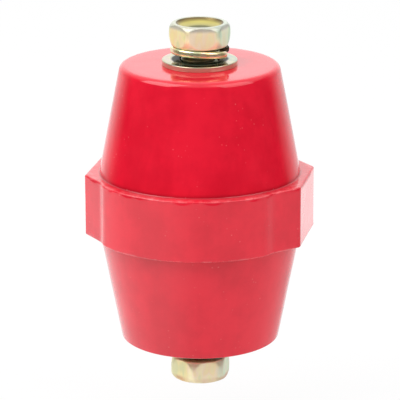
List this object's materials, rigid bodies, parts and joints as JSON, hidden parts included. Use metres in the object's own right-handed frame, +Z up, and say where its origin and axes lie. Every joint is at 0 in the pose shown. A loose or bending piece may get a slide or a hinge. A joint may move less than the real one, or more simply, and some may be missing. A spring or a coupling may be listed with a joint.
{
  "type": "busbar stand-off insulator",
  "caption": "Red moulded double-cone stand-off insulator with a faceted waist band, threaded metal inserts, and a hex bolt, split spring washer and flat washer at each end.",
  "frame": {"origin": "centre of the moulded body's lower end face", "axes": "+Z runs up the bolt axis from the lower end to the upper end; the waist band's two wrench lugs point along +X and -X"},
  "size_m": [0.0466, 0.047, 0.0787],
  "materials": {
    "red_thermoset": "glossy compression-moulded polyester moulding compound",
    "yellow_zinc": "yellow-passivated zinc plated steel",
    "turned_brass": "machined"
  },
  "bodies": {
    "insulator": {"insulator_body": "red_thermoset", "top_insert": "turned_brass", "bottom_insert": "turned_brass"},
    "top_flat_washer": {"top_flat_washer": "yellow_zinc"},
    "top_spring_washer": {"top_spring_washer": "yellow_zinc"},
    "top_bolt": {"top_bolt": "yellow_zinc"},
    "bottom_spring_washer": {"bottom_spring_washer": "yellow_zinc"},
    "bottom_flat_washer": {"bottom_flat_washer": "yellow_zinc"},
    "bottom_bolt": {"bottom_bolt": "yellow_zinc"}
  },
  "joints": [
    {"name": "top_bolt_travel", "type": "slide", "parent": "insulator", "child": "top_spring_washer", "axis": [0, 0, 1], "range_m": [-0.00045, 0.01063]},
    {"name": "top_bolt_turn", "type": "hinge", "parent": "top_spring_washer", "child": "top_bolt", "pos_m": [0, 0, 0.06415], "axis": [0, 0, 1], "range_deg": [-130, 3060.1]},
    {"name": "top_washer_spin", "type": "hinge", "parent": "insulator", "child": "top_flat_washer", "pos_m": [0, 0, 0.0605], "axis": [0, 0, 1], "continuous": true},
    {"name": "bottom_bolt_travel", "type": "slide", "parent": "insulator", "child": "bottom_spring_washer", "axis": [0, 0, -1], "range_m": [-0.00045, 0.01]},
    {"name": "bottom_bolt_turn", "type": "hinge", "parent": "bottom_spring_washer", "child": "bottom_bolt", "pos_m": [0, 0, -0.0048], "axis": [0, 0, -1], "range_deg": [-130, 2880.1]},
    {"name": "bottom_washer_spin", "type": "hinge", "parent": "insulator", "child": "bottom_flat_washer", "pos_m": [0, 0, -0.0005], "axis": [0, 0, -1], "continuous": true}
  ],
  "couplings": [
    {"joint": "top_bolt_turn", "follows": "top_bolt_travel", "rad_per_m": 5026.5},
    {"joint": "bottom_bolt_turn", "follows": "bottom_bolt_travel", "rad_per_m": 5026.5}
  ]
}
